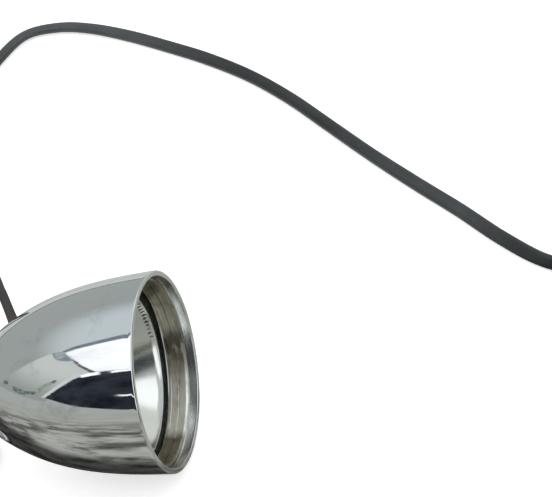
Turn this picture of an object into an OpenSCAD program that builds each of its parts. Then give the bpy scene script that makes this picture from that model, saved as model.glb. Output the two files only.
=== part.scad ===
// Boat navigation light: a chromed bullet housing on a tilting deck foot, with its lens, reflector,
// bayonet lamp, wiring and a flat twin lead. The lamp axis runs along +X towards the mouth and +Z is up.
// The origin is on the deck, under the middle of the light.

/* [Housing] */
// Outside diameter of the housing at its mouth
mouth_d = 90; // [72:1:110]
// Length of the housing from the mouth to its tail face
body_len = 96; // [80:1:118]
// Wall of the shell
shell_wall = 2; // [1.4:0.1:3]
// Wall of the rim at the mouth
lip_wall = 2.5; // [2:0.1:4]
// Outside diameter of the flat tail face
tail_d = 18; // [18:1:26]
// Share of the length over which the front stays full
front_fullness = 0.47; // [0.3:0.01:0.6]
// Share of the length where the tail begins to close
tail_fullness = 0.69; // [0.6:0.01:0.8]
// Share of the mouth radius left where the tail begins to close
tail_shoulder = 0.8; // [0.7:0.01:0.9]
// Depth of the plain bright lip in front of the thread relief
lip_depth = 3.9; // [3:0.1:8]
// Depth of the seat that the reflector flange rests on
seat_depth = 17; // [15:0.5:24]

/* [Lens and ring] */
// Length of the threaded lens ring
ring_len = 8.4; // [6:0.1:8.6]
// Radial thickness of the ring at its inner end
ring_thick = 3; // [2:0.1:4]
// Thickness of the flat glass
glass_t = 2.2; // [1.5:0.1:3]
// Thickness of the seal behind the glass
seal_t = 1.2; // [0.8:0.1:2]
// Thread pitch of the lens ring
ring_pitch = 1.5; // [1:0.25:2]

/* [Reflector] */
// Depth of the reflector bowl
bowl_depth = 26; // [20:1:30]
// Width of the reflector flange outside its bead
flange_w = 3.4; // [3:0.1:5]
// Sheet thickness of the reflector
sheet = 0.8; // [0.5:0.1:1.2]
// How far the reflector has settled below the lamp axis
reflector_drop = 1.2; // [0:0.1:1.4]

/* [Lamp and holder] */
// Diameter of the bayonet cap
cap_d = 15; // [12:0.5:16]
// Length of the bayonet cap
cap_len = 13; // [11:0.5:16]
// Diameter of the lamp's glass globe
globe_d = 17; // [14:0.5:20]
// Distance the lamp is pushed in to free it
push_travel = 1.5; // [1:0.1:2.5]
// Angle the lamp is turned to free it
twist_angle = 15; // [10:1:20]
// Wall of the holder tube
holder_wall = 1; // [0.8:0.1:1.5]

/* [Knuckle and foot] */
// Gap between the rim and the deck
rim_clear = 1.5; // [1:0.5:24]
// Distance of the tilt pivot behind the housing
pivot_back = 22; // [20:0.5:32]
// Radius of the pivot eye
eye_r = 10; // [8:0.5:12]
// Width of the eye between the fork cheeks
eye_w = 8; // [6:0.5:12]
// Diameter of the pivot bolt
bolt_d = 8; // [6:0.5:10]
// Thickness of each fork cheek
cheek_t = 4.5; // [3:0.5:7]
// Diameter of the foot flange
foot_d = 44; // [40:1:60]
// Thickness of the foot flange
foot_t = 4; // [3:0.5:8]
// Thickness of the rubber pad under the foot
pad_t = 1.5; // [1:0.5:3]
// Diameter of the ring of deck screw holes
screw_ring_d = 32; // [30:0.5:46]
// Diameter of the deck screw holes
screw_hole_d = 4.6; // [3.5:0.1:6]

/* [Lead] */
// Width of the flat twin lead
lead_w = 7; // [6:0.1:9]
// Thickness of the flat twin lead
lead_t = 4.2; // [3.4:0.1:5]
// Length of the tapered sleeve outside the shell
sleeve_len = 24; // [20:1:40]
// Distance of the lead outlet in front of the tail face
outlet_back = 23; // [18:1:36]
// Angle of the lead outlet above the level of the lamp axis
outlet_up = 20; // [0:1:40]
// Angle that the sleeve leans towards the tail
outlet_lean = 25; // [10:1:35]
// Diameter of the outlet hole in the shell
outlet_d = 11; // [10:0.5:14]

/* [Hidden] */

round_fn = 96;
small_fn = 48;
curve_steps = 28;

// Clearances of the fits.
run_gap = 0.06;
slide_gap = 0.1;
hole_gap = 0.25;
face_gap = 0.3;

// Stations along the lamp axis, measured back from the mouth.
mouth_r = mouth_d / 2;
bore_r = mouth_r - lip_wall;
axis_z = mouth_r + rim_clear;
rim_edge = 0.5;
relief_w = 0.8;
relief_t = 0.7;
seal_s = seat_depth - sheet - seal_t;
glass_s = seal_s - glass_t;
ring_s = glass_s - ring_len;
ring_r = bore_r - run_gap;
flange_r = bore_r - slide_gap - reflector_drop;
bead_r = flange_r - flange_w;
bead_h = seal_t - 0.2;
seat_r = bead_r + reflector_drop + 0.6;
bowl_s = seat_depth - sheet;
bowl_r = bead_r - 0.5;
cap_r = cap_d / 2;
holder_in = cap_r + 0.08;
holder_out = holder_in + holder_wall;
neck_clear = 0.2;
neck_in = holder_out + reflector_drop + neck_clear;
neck_out = neck_in + sheet;
neck_end = bowl_s + bowl_depth + 5;
globe_r = globe_d / 2;
globe_clear = 0.2;
cap_s = seal_s + globe_d + globe_clear;
globe_s = cap_s - globe_r + 0.5;
cap_wall = 0.7;
base_t = 2;
pad_bump = 1;
cap_end = cap_s + cap_len;
contact_s = cap_end + base_t - 1 + pad_bump;
contact_y = cap_r * 0.43;
contact_r = cap_r * 0.17;
disc_s = contact_s + 1;
disc_t = 1.6;
spring_len = 4.4;
plate_s = disc_s + disc_t + spring_len;
plate_t = 2;
holder_s = cap_s + 2.5;
holder_end = plate_s + plate_t;
rivet_tail = 2.5;
rivets_end = holder_end + rivet_tail;
bayonet_s = cap_s + cap_len * 0.62;
bayonet_r = 1;
bayonet_reach = holder_out - 0.1;

// The knuckle at the tail.
tail_r = tail_d / 2;
gasket_t = 1;
collar_t = 3;
collar_r = tail_r + 2;
stud_r = 4;
nut_t = 5;
washer_t = 1.4;
nut_s = body_len - shell_wall - washer_t - nut_t;
block_t = 7;
block_share = 0.65;
block_s = rivets_end + block_share * (nut_s - block_t - rivets_end);
stud_s = block_s + block_t;
block_r = 12;
terminal_y = 6.5;
pivot_s = body_len + pivot_back;
bolt_r = bolt_d / 2;
friction_t = 0.8;
fork_gap = eye_w / 2 + friction_t;
fork_out = fork_gap + cheek_t;
foot_r = foot_d / 2;
foot_top = pad_t + foot_t;

// The whole light, without its lead, is centred on the origin.
mouth_x = (pivot_s + foot_r) / 2;
pivot_x = mouth_x - pivot_s;

// A point in the lamp's own frame, given as depth, sideways and upwards, moved to the light's frame.
function lamp_point(s, y, up) = [mouth_x - s, y, axis_z + up];
function bezier(a, b, c, d, t) =
    pow(1 - t, 3) * a + 3 * t * pow(1 - t, 2) * b + 3 * t * t * (1 - t) * c + pow(t, 3) * d;

// The shell's outline: full at the front and closing quickly at the tail, as [radius, depth].
function outline(t, wall) = bezier(
    [mouth_r - wall, 0],
    [mouth_r - 2 - wall, body_len * front_fullness],
    [mouth_r * tail_shoulder - wall, body_len * tail_fullness],
    [tail_r - wall * 0.5, body_len - (wall > 0 ? shell_wall : 0)], t);
outer_curve = [for (i = [0 : curve_steps]) outline(i / curve_steps, 0)];
inner_curve = [for (i = [0 : curve_steps]) outline(i / curve_steps, shell_wall)];
inner_tail = [for (p = inner_curve) if (p[1] > seat_depth + 4) p];

// Radius of the shell's outside at a depth, read off the outline.
function shell_r(s) = lookup(s, [for (p = outer_curve) [p[1], p[0]]]);

// The lead's outlet, and the direction that it leaves in.
outlet_s = body_len - outlet_back;
outlet_r = shell_r(outlet_s);
outlet = lamp_point(outlet_s, outlet_r * cos(outlet_up), outlet_r * sin(outlet_up));
outlet_dir = [-sin(outlet_lean), cos(outlet_lean) * cos(outlet_up), cos(outlet_lean) * sin(outlet_up)];
sleeve_tip = outlet + sleeve_len * outlet_dir;

// The lead's route: x, y, height of its middle and roll, where 90 stands it on its edge. A height of 0
// lays it on the deck.
cord_route = [
    [-19, 57, 67, 90], [-30, 72, 68, 88], [-45, 86, 60, 84], [-60, 98, 44, 80], [-72, 110, 25, 76],
    [-83, 124, 10, 70], [-92, 142, 4.3, 62], [-100, 168, 0, 52], [-106, 200, 0, 40],
    [-109, 232, 0, 26], [-108, 264, 0, 12], [-104.5, 290, 0, 0], [-97, 314, 0, -8],
    [-86.4, 331.1, 0, -10], [-68, 334.3, 0, -8], [-47.9, 329.3, 0, -8], [-24.7, 318.6, 0, 0],
    [0.6, 304.1, 0, 3], [26.6, 287.9, 0, 6], [52.6, 268.7, 0, -3], [77.6, 245.6, 0, -9],
    [102.3, 219.2, 0, -9], [126.9, 192.9, 0, -6], [152.2, 167.2, 0, 6], [177.4, 142.4, 0, 14],
    [199.8, 118.8, 0, 34], [221.5, 99.3, 0, 72], [243, 88, 4.3, 88], [264, 77.5, 4.3, 90]];
drop_points = 6;
smooth_steps = 2;

// The rest of the lead is wound in a coil on its edge.
coil_x = 288;
coil_y = 116;
coil_turns = 3;
coil_pitch = 4.4;
coil_r = 46;
coil_lift = 0.8;
coil_in = coil_r - coil_turns * coil_pitch - lead_t / 2;
coil_out = coil_r + lead_t / 2;
tie_t = 0.7;
tie_w = 5;
tie_angle = 60;

// The tail of the lead crosses over the coil and lies down beside it.
tail_route = [
    [270.6, 88.2, 8.5, 60], [279, 83, 10.8, 15], [288, 77.5, 11, 0], [297, 72, 10.8, 0],
    [306, 66.5, 8.6, 0], [315, 61, 5.6, 0], [324, 55.5, 4.2, 0], [332, 50.5, 4, 0]];
connector_at = [332, 50.5, 4];
connector_turn = -32;
connector_len = 26;
connector_w = 12;
connector_h = 7.6;

module lamp() { translate([mouth_x, 0, axis_z]) rotate([0, -90, 0]) children(); }
module disc(s, r, t, hole = 0) {
    translate([0, 0, s]) difference() {
        cylinder(r = r, h = t, $fn = round_fn);
        if (hole > 0) translate([0, 0, -1]) cylinder(r = hole, h = t + 2, $fn = round_fn);
    }
}
module along_y(y, r, len) { translate([0, y, 0]) rotate([-90, 0, 0]) cylinder(r = r, h = len, $fn = small_fn); }

// Sweep: a flat section with rounded edges carried along a list of [x, y, z, roll].
section_sides = 10;
function unit(v) = v / norm(v);
function at3(p) = [p[0], p[1], p[2]];
function catmull(a, b, c, d, t) =
    0.5 * (2 * b + (c - a) * t + (2 * a - 5 * b + 4 * c - d) * t * t + (3 * b - a - 3 * c + d) * pow(t, 3));
function smooth(pts, n) = [for (i = [0 : len(pts) - 2]) for (k = [0 : n - 1])
    catmull(pts[max(i - 1, 0)], pts[i], pts[i + 1], pts[min(i + 2, len(pts) - 1)], k / n),
    pts[len(pts) - 1]];
function heading(pts, i) = unit(at3(pts[min(i + 1, len(pts) - 1)]) - at3(pts[max(i - 1, 0)]));
function section_ring(p, dir, w, t) =
    let (side = unit(cross([0, 0, 1], dir)), up = cross(dir, side), roll = p[3],
        wide = side * cos(roll) + up * sin(roll), thin = up * cos(roll) - side * sin(roll))
    [for (k = [0 : section_sides - 1]) let (a = 360 * (k + 0.5) / section_sides)
        at3(p) + wide * (w / 2) * sign(cos(a)) * pow(abs(cos(a)), 0.75)
               + thin * (t / 2) * sign(sin(a)) * pow(abs(sin(a)), 0.75)];
module loft(rings) {
    n = len(rings[0]);
    last = (len(rings) - 1) * n;
    polyhedron(
        points = [for (r = rings) for (p = r) p],
        faces = [[for (k = [0 : n - 1]) k],
            for (i = [0 : len(rings) - 2]) for (k = [0 : n - 1]) let (m = (k + 1) % n)
                each [[i * n + k, (i + 1) * n + k, (i + 1) * n + m], [i * n + k, (i + 1) * n + m, i * n + m]],
            [for (k = [0 : n - 1]) last + n - 1 - k]]);
}
rest_gap = 0.15;
function resting(roll) =
    pow(pow(lead_w / 2 * abs(sin(roll)), 1.6) + pow(lead_t / 2 * abs(cos(roll)), 1.6), 1 / 1.6) + rest_gap;
function laid(p) = p[2] > 0 ? p : [p[0], p[1], resting(p[3]), p[3]];
cord_start = concat(sleeve_tip + face_gap * outlet_dir, 90);
cord_path = smooth(concat([cord_start], [for (p = cord_route) laid(p)]), smooth_steps);
cord_rings = [for (i = [0 : len(cord_path) - 1])
    section_ring(cord_path[i], i == 0 ? outlet_dir : heading(cord_path, i), lead_w, lead_t)];
drop_end = (drop_points + 1) * smooth_steps;

// A thin wire that starts in a given direction and ends square on to the lamp axis.
module wire(pts, r, first_dir) {
    path = smooth([for (p = pts) concat(p, 0)], 3);
    last = len(path) - 1;
    function way(i) = i == 0 ? first_dir : i == last ? [-1, 0, 0] : heading(path, i);
    loft([for (i = [0 : last]) section_ring(path[i], way(i), 2 * r, 2 * r)]);
}

module housing() {
    color("gainsboro") difference() {
        lamp() rotate_extrude($fn = 128) polygon(concat(
            [[bore_r + rim_edge, 0], [mouth_r - rim_edge, 0], [mouth_r, rim_edge]],
            [for (p = outer_curve) if (p[1] > rim_edge) p],
            [[stud_r + hole_gap, body_len], [stud_r + hole_gap, body_len - shell_wall]],
            [for (i = [len(inner_tail) - 1 : -1 : 0]) inner_tail[i]],
            [[seat_r, seat_depth + 2.5], [seat_r, seat_depth], [bore_r, seat_depth],
             [bore_r, lip_depth + relief_w], [bore_r + relief_t, lip_depth + relief_w],
             [bore_r + relief_t, lip_depth], [bore_r, lip_depth], [bore_r, rim_edge]]));
        outlet_cut();
    }
}
module outlet_place() {
    translate(outlet) rotate([0, 0, atan2(outlet_dir[1], outlet_dir[0])])
        rotate([0, acos(outlet_dir[2]), 0]) children();
}
module outlet_cut() { outlet_place() translate([0, 0, -12]) cylinder(d = outlet_d, h = 24, $fn = small_fn); }

// Lens ring: two lands with a groove between them inside, and a stepped inner edge.
module lens_ring() {
    inner = bore_r - ring_thick;
    mid = ring_len * 0.45;
    color("tan") lamp() translate([0, 0, ring_s]) rotate_extrude($fn = 128) polygon([
        [ring_r - 0.6, 0], [ring_r, 0.5], [ring_r, ring_len], [inner, ring_len], [inner, ring_len - 0.9],
        [inner + 0.5, ring_len - 1.1], [inner + 0.8, mid + 0.6], [inner + 1.3, mid + 0.5],
        [inner + 1.3, mid], [inner + 1, mid - 0.1], [inner + 1.3, 0.8], [inner + 1.8, 0]]);
}
module lens_glass() { color("lightcyan", 0.4) lamp() disc(glass_s, bore_r - 0.9, glass_t); }
module lens_seal() {
    color("black") lamp() translate([0, 0, seal_s]) difference() {
        cylinder(r = bore_r - slide_gap, h = seal_t, $fn = 128);
        translate([-reflector_drop, 0, -1]) cylinder(r = bead_r + 0.3, h = seal_t + 2, $fn = 128);
    }
}

function bowl_at(r) = bowl_s + bowl_depth * (1 - pow(r / bowl_r, 2));
bowl_steps = 18;
bowl_curve = [for (i = [0 : bowl_steps]) let (r = neck_in + (bowl_r - neck_in) * i / bowl_steps) [r, bowl_at(r)]];
module reflector() {
    color("silver") lamp() translate([-reflector_drop, 0, 0]) rotate_extrude($fn = 128) polygon(concat(
        bowl_curve,
        [[bead_r - 0.4, bowl_s - bead_h], [bead_r, bowl_s - bead_h + 0.3], [bead_r, bowl_s],
         [flange_r, bowl_s], [flange_r, bowl_s + sheet], [bead_r, bowl_s + sheet]],
        [for (i = [bowl_steps - 1 : -1 : 1]) if (bowl_curve[i][0] > neck_out + 1) bowl_curve[i] + [0.1, sheet]],
        [[neck_out, bowl_at(neck_out) + sheet], [neck_out, neck_end], [neck_in, neck_end]]));
}

globe_steps = 16;
function globe(r) = [for (i = [0 : globe_steps])
    let (a = 150 * i / globe_steps) [r * sin(a), globe_s - r * cos(a)]];
module bulb_glass() {
    glass = 0.7;
    neck = cap_r - cap_wall - 0.1;
    outer = [for (p = globe(globe_r)) if (p[1] < globe_s || p[0] > neck) p];
    inner = [for (p = globe(globe_r - glass)) if (p[1] < globe_s || p[0] > neck - glass) p];
    color("white", 0.4) lamp() rotate_extrude($fn = small_fn) polygon(concat(
        outer, [[neck, cap_s - 0.5], [neck, cap_s + 6], [neck - glass, cap_s + 6]],
        [for (i = [len(inner) - 1 : -1 : 0]) inner[i]]));
}
module filament() {
    reach = 2.5;
    wire_r = 0.4;
    color("dimgray") lamp() {
        for (side = [-1, 1]) translate([0, side * reach, globe_s]) cylinder(r = wire_r, h = cap_s + 8 - globe_s, $fn = 16);
        translate([0, 0, globe_s + 0.4]) along_y(-reach, wire_r, 2 * reach);
        translate([0, 0, cap_s + 4]) cylinder(r = 3.4, h = 4, $fn = small_fn);
    }
}
module bulb_cap() {
    color("darkkhaki") lamp() difference() {
        union() {
            disc(cap_s, cap_r, cap_len, cap_r - cap_wall);
            translate([-bayonet_reach, 0, bayonet_s]) rotate([0, 90, 0])
                cylinder(r = bayonet_r, h = 2 * bayonet_reach, $fn = 24);
        }
        translate([0, 0, cap_s - 1]) cylinder(r = cap_r - cap_wall, h = cap_len + 2, $fn = round_fn);
    }
}
module bulb_base() { color("saddlebrown") lamp() disc(cap_end - 1, cap_r - cap_wall, base_t); }
module bulb_contacts() {
    color("lightgray") lamp() for (side = [-1, 1])
        translate([0, side * contact_y, contact_s - pad_bump]) cylinder(r = contact_r + 0.3, h = pad_bump, $fn = 24);
}
module contact_disc() {
    color("saddlebrown") lamp() difference() {
        disc(disc_s, holder_in - 0.3, disc_t);
        for (side = [-1, 1]) translate([0, side * contact_y, disc_s - 1]) cylinder(r = contact_r, h = disc_t + 2, $fn = 24);
    }
}
module contact_pins() {
    color("goldenrod") lamp() for (side = [-1, 1])
        translate([0, side * contact_y, contact_s]) cylinder(r = contact_r, h = disc_t + 3, $fn = 24);
}
module contact_spring() { color("gray") lamp() disc(disc_s + disc_t, contact_y + contact_r + 1.4, spring_len, contact_y + contact_r + 0.5); }
module holder_tube() {
    slot_from = -asin((bayonet_r + 0.2) / cap_r);
    slot_to = twist_angle - slot_from;
    color("darkkhaki") lamp() difference() {
        disc(holder_s, holder_out, holder_end - holder_s, holder_in);
        for (side = [0, 180]) rotate([0, 0, side]) translate([0, 0, bayonet_s - bayonet_r - 0.2])
            linear_extrude(2 * bayonet_r + push_travel + 0.4) polygon([[0, 0],
                for (i = [0 : 4]) let (a = slot_from + (slot_to - slot_from) * i / 4)
                    2 * holder_out * [cos(a), sin(a)]]);
    }
}
module holder_collar() { color("darkgray") lamp() disc(neck_end, neck_out + 3, 2.5, holder_out); }
module holder_insulator() {
    color("saddlebrown") lamp() difference() {
        disc(plate_s, holder_in, plate_t);
        for (side = [-1, 1]) translate([0, side * contact_y, plate_s - 1]) cylinder(r = contact_r, h = plate_t + 2, $fn = 24);
    }
}
module holder_rivets() {
    color("goldenrod") lamp() for (side = [-1, 1]) translate([0, side * contact_y, plate_s]) {
        cylinder(r = contact_r, h = rivets_end - plate_s, $fn = 24);
        translate([0, 0, plate_t]) cylinder(r = contact_r + 0.7, h = 0.8, $fn = 24);
    }
}

// Wires inside the housing: holder to terminal block, and outlet to terminal block.
wire_r = 0.9;
wire_gap = 0.4;
function lamp_points(side, pts) = [for (p = pts) lamp_point(p[0], side * p[1], p[2])];
module holder_wire(side) {
    from_s = rivets_end + wire_gap;
    span = block_s - wire_gap - from_s;
    wire(lamp_points(side, [[from_s, contact_y, 0], [from_s + 0.25 * span, contact_y + 0.3, 1.6],
        [from_s + 0.55 * span, terminal_y + 0.5, 5], [from_s + 0.8 * span, terminal_y, 5.2],
        [from_s + span, terminal_y, 5]]), wire_r, [-1, 0, 0]);
}
module core_wire(side) {
    from = outlet - (shell_wall + 5) * outlet_dir - [side * 2 * wire_r, 0, 0];
    span = block_s - wire_gap - holder_end;
    wire([from, from - 3 * outlet_dir,
        side > 0 ? lamp_point(holder_end + 0.74 * span, 12.5, -1) : lamp_point(holder_end + 0.35 * span, 5, -7),
        lamp_point(holder_end + 0.85 * span, side * terminal_y, -5),
        lamp_point(holder_end + span, side * terminal_y, -5)], wire_r, -outlet_dir);
}
module lead_live() { color("crimson") holder_wire(1); }
module lead_return() { color("dimgray") holder_wire(-1); }
module core_live() { color("crimson") core_wire(1); }
module core_return() { color("dimgray") core_wire(-1); }
module terminal_block() {
    color("saddlebrown") lamp() difference() {
        disc(block_s, block_r, block_t, 2);
        for (side = [-1, 1]) translate([0, side * terminal_y, block_s - 1]) cylinder(r = 1.5, h = 5, $fn = 24);
    }
}
module terminal_screws() {
    color("goldenrod") lamp() for (side = [-1, 1]) translate([0, side * terminal_y, block_s]) {
        cylinder(r = 1.5, h = 4, $fn = 24);
        translate([0, 0, -1.8]) difference() {
            cylinder(r = 2.8, h = 1.8, $fn = 24);
            translate([-3, -0.35, -0.1]) cube([6, 0.7, 0.9]);
        }
    }
}
module block_screw() {
    color("goldenrod") lamp() translate([0, 0, block_s]) {
        cylinder(r = 2, h = block_t + 8, $fn = 24);
        translate([0, 0, -2.2]) difference() {
            cylinder(r = 3.4, h = 2.2, $fn = 24);
            translate([-4, -0.4, -0.1]) cube([8, 0.8, 1.1]);
        }
    }
}

module tail_lug() {
    root_s = body_len + gasket_t;
    color("gainsboro") difference() {
        union() {
            lamp() disc(root_s, collar_r, collar_t);
            lamp() disc(stud_s, stud_r, root_s - stud_s + 0.5);
            translate([pivot_x, eye_w / 2, axis_z]) rotate([90, 0, 0]) linear_extrude(eye_w) union() {
                circle(r = eye_r, $fn = 64);
                translate([0, -eye_r + 1]) square([pivot_s - root_s - collar_t + 0.5, 2 * eye_r - 2]);
            }
        }
        translate([pivot_x, 0, axis_z]) along_y(-eye_w, bolt_r + run_gap, 2 * eye_w);
        lamp() translate([0, 0, stud_s - 1]) cylinder(r = 2, h = 10, $fn = 24);
    }
}
module tail_gasket() { color("black") lamp() disc(body_len, collar_r - 0.5, gasket_t, stud_r); }
module tail_washer() { color("silver") lamp() disc(body_len - shell_wall - washer_t, stud_r + 3.2, washer_t, stud_r); }
module tail_nut() {
    color("silver") lamp() translate([0, 0, nut_s]) difference() {
        cylinder(r = 7.2, h = nut_t, $fn = 6);
        translate([0, 0, -1]) cylinder(r = stud_r, h = nut_t + 2, $fn = small_fn);
    }
}

module screw_holes(r, z, h) {
    translate([pivot_x, 0, 0]) for (a = [0 : 120 : 240]) rotate([0, 0, a])
        translate([screw_ring_d / 2, 0, z]) cylinder(r = r, h = h, $fn = 32);
}
module foot() {
    slot_z = axis_z - eye_r - 2.5;
    color("gainsboro") difference() {
        union() {
            translate([pivot_x, 0, pad_t]) rotate_extrude($fn = 96) polygon([[0, 0], [foot_r, 0],
                [foot_r, foot_t - 1.5], [foot_r - 0.4, foot_t - 0.5], [foot_r - 1.4, foot_t], [0, foot_t]]);
            translate([pivot_x, fork_out, 0]) rotate([90, 0, 0]) linear_extrude(2 * fork_out) union() {
                translate([0, axis_z]) circle(r = eye_r, $fn = 64);
                translate([-eye_r, foot_top - 1]) square([2 * eye_r, axis_z - foot_top + 1]);
            }
        }
        translate([pivot_x - eye_r - 5, -fork_gap, slot_z]) cube([2 * eye_r + 10, 2 * fork_gap, eye_r * 3]);
        translate([pivot_x, 0, axis_z]) along_y(-fork_out - 1, bolt_r + run_gap, 2 * fork_out + 2);
        screw_holes(screw_hole_d / 2, pad_t - 1, foot_t + 2);
    }
}
module foot_pad() {
    color("black") difference() {
        translate([pivot_x, 0, 0]) cylinder(r = foot_r - 0.5, h = pad_t, $fn = 96);
        screw_holes(screw_hole_d / 2, -1, pad_t + 2);
    }
}
module pivot_bolt() {
    grip = 2 * fork_out + 2 * washer_t;
    color("silver") translate([pivot_x, 0, axis_z]) {
        along_y(-grip / 2, bolt_r, grip + 7);
        along_y(-grip / 2 - 2, bolt_r + 2.5, 2);
        along_y(-grip / 2 - 3.2, bolt_r + 1.2, 1.3);
    }
}
module pivot_washers() {
    color("silver") translate([pivot_x, 0, axis_z]) for (y = [-fork_out - washer_t, fork_out]) difference() {
        along_y(y, bolt_r + 3, washer_t);
        along_y(y - 1, bolt_r, washer_t + 2);
    }
}
module pivot_nut() {
    color("silver") translate([pivot_x, fork_out + washer_t, axis_z]) rotate([-90, 0, 0]) difference() {
        union() {
            cylinder(r = bolt_r * 1.75, h = 5, $fn = 6);
            translate([0, 0, 4.5]) cylinder(r = bolt_r * 1.35, h = 4, $fn = small_fn);
        }
        translate([0, 0, -1]) cylinder(r = bolt_r, h = 8, $fn = small_fn);
    }
}
module friction_washers() {
    color("brown") translate([pivot_x, 0, axis_z]) for (y = [-fork_gap, eye_w / 2 + 0.02]) difference() {
        along_y(y, eye_r - 1, friction_t - 0.02);
        along_y(y - 1, bolt_r, friction_t + 2);
    }
}

// Rubber sleeve: a flange inside and outside the shell, then an oval taper along the lead.
module strain_relief() {
    skirt = 1.2;
    color("dimgray") union() {
        outlet_place() {
            translate([0, 0, -shell_wall - 4]) cylinder(d = outlet_d + 3, h = 2, $fn = small_fn);
            translate([0, 0, -shell_wall - 4]) cylinder(d = outlet_d, h = shell_wall + 4.2, $fn = small_fn);
        }
        loft([for (k = [[-1, 1.5, 1.5], [1.2, 1.5, 1.5], [2.2, 0.9, 0.9], [sleeve_len * 0.5, 0.65, 0.6], [sleeve_len, 0.5, 0.35]])
            section_ring(concat(outlet + k[0] * outlet_dir, 90), outlet_dir, lead_w + 2 * k[1], lead_t + 2 * k[2])]);
    }
}
module cord_slice(from, to) {
    color("darkslategray") loft([for (i = [from : to]) cord_rings[i]]);
}
module cord_drop() { cord_slice(0, drop_end); }
module cord_run() { cord_slice(drop_end, len(cord_rings) - 1); }
module cord_coil() {
    color("darkslategray") translate([coil_x, coil_y, coil_lift]) rotate_extrude($fn = 96)
        translate([coil_in, 0]) square([coil_out - coil_in, lead_w]);
}
module cord_tie() {
    color("black") translate([coil_x, coil_y, 0]) rotate([0, 0, tie_angle]) translate([coil_in - tie_t - 0.1, tie_w / 2, 0])
        rotate([90, 0, 0]) linear_extrude(tie_w) difference() {
            square([coil_out - coil_in + 2 * tie_t + 0.2, lead_w + coil_lift + tie_t]);
            translate([tie_t, coil_lift - 0.05]) square([coil_out - coil_in + 0.2, lead_w + 0.1]);
        }
}
module cord_tail() {
    path = smooth(tail_route, smooth_steps);
    color("darkslategray") loft([for (i = [0 : len(path) - 1]) section_ring(path[i], heading(path, i), lead_w, lead_t)]);
}
module connector_place() { translate(connector_at) rotate([0, 0, connector_turn]) children(); }
module connector_body() {
    color("black") connector_place() difference() {
        union() {
            translate([6, -connector_w / 2, -4]) cube([connector_len - 6, connector_w, connector_h]);
            translate([0.1, -connector_w / 2 + 1.5, -3.2]) cube([7, connector_w - 3, connector_h - 1.6]);
        }
        for (side = [-1, 1]) translate([connector_len - 4, side * 3, -0.2]) rotate([0, 90, 0])
            cylinder(r = 1.2, h = 10, $fn = 24);
    }
}
module connector_pins() {
    color("goldenrod") connector_place() for (side = [-1, 1])
        translate([connector_len - 4, side * 3, -0.2]) rotate([0, 90, 0]) cylinder(r = 1.2, h = 11, $fn = 24);
}

housing();
lens_ring();
lens_glass();
lens_seal();
reflector();
bulb_glass();
filament();
bulb_cap();
bulb_base();
bulb_contacts();
contact_disc();
contact_pins();
contact_spring();
holder_tube();
holder_collar();
holder_insulator();
holder_rivets();
lead_live();
lead_return();
terminal_block();
terminal_screws();
block_screw();
core_live();
core_return();
tail_lug();
tail_gasket();
tail_washer();
tail_nut();
foot();
foot_pad();
pivot_bolt();
pivot_washers();
pivot_nut();
friction_washers();
strain_relief();
cord_drop();
cord_run();
cord_coil();
cord_tie();
cord_tail();
connector_body();
connector_pins();
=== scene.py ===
import math
import bpy
import bmesh
import numpy as np
from mathutils import Matrix, Vector


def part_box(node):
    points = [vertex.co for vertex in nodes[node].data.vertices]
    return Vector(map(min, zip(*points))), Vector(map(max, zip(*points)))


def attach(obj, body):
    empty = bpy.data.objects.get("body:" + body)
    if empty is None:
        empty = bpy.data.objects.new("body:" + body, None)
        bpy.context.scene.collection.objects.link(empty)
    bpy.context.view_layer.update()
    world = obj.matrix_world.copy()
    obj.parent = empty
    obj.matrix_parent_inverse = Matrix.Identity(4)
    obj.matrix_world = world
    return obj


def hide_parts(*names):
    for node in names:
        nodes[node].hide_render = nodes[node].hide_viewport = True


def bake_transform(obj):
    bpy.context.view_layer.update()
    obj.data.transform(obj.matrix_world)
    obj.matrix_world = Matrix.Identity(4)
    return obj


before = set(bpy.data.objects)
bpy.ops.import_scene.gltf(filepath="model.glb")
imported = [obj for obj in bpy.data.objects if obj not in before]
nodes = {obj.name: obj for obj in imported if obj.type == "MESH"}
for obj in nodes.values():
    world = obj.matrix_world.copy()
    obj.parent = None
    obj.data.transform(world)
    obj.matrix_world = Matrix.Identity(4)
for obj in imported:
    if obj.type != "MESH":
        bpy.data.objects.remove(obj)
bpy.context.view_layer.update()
slotOf = {name: obj.data.materials[0].name for name, obj in nodes.items()}
for plain in list(bpy.data.materials):
    plain.name = "plain_" + plain.name      # leaves the names free for the finishes
print("frame loaded:", len(nodes), "nodes")

mm = 0.001
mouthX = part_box("housing")[1].x
axisZ = sum(corner.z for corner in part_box("pivot_bolt")) / 2


# the camera looks down into the mouth from the front right, tipped a little; metres, lens in mm
camera = {
    "place": (0.49568, -0.92676, 0.88639),
    "right": (0.95354, 0.14873, -0.26200),
    "up": (0.10104, 0.66142, 0.74318),
    "lens": 195.65,
    "sensor": 36,
    "near": 0.05,
    "far": 50,
}


def addCamera():
    data = bpy.data.cameras.new("camera")
    data.sensor_width = camera["sensor"]
    data.lens = camera["lens"]
    data.clip_start = camera["near"]
    data.clip_end = camera["far"]
    obj = bpy.data.objects.new("camera", data)
    bpy.context.scene.collection.objects.link(obj)
    right = Vector(camera["right"]).normalized()
    up = Vector(camera["up"]).normalized()
    turn = Matrix((right, up, right.cross(up))).transposed()
    obj.matrix_world = Matrix.Translation(camera["place"]) @ turn.to_4x4()
    bpy.context.scene.camera = obj


addCamera()


# helpers that make meshes
def addObject(name, data):
    obj = bpy.data.objects.new(name, data)
    bpy.context.scene.collection.objects.link(obj)
    return obj


def meshObject(name, points, faces, smoothAngle=35):
    data = bpy.data.meshes.new(name)
    data.from_pydata([tuple(p) for p in points], [], faces)
    data.update()
    obj = addObject(name, data)
    smoothen(obj, smoothAngle)
    return obj


def smoothen(obj, angle):
    obj.data.shade_smooth()
    obj.data.set_sharp_from_angle(angle=math.radians(angle))


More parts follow.
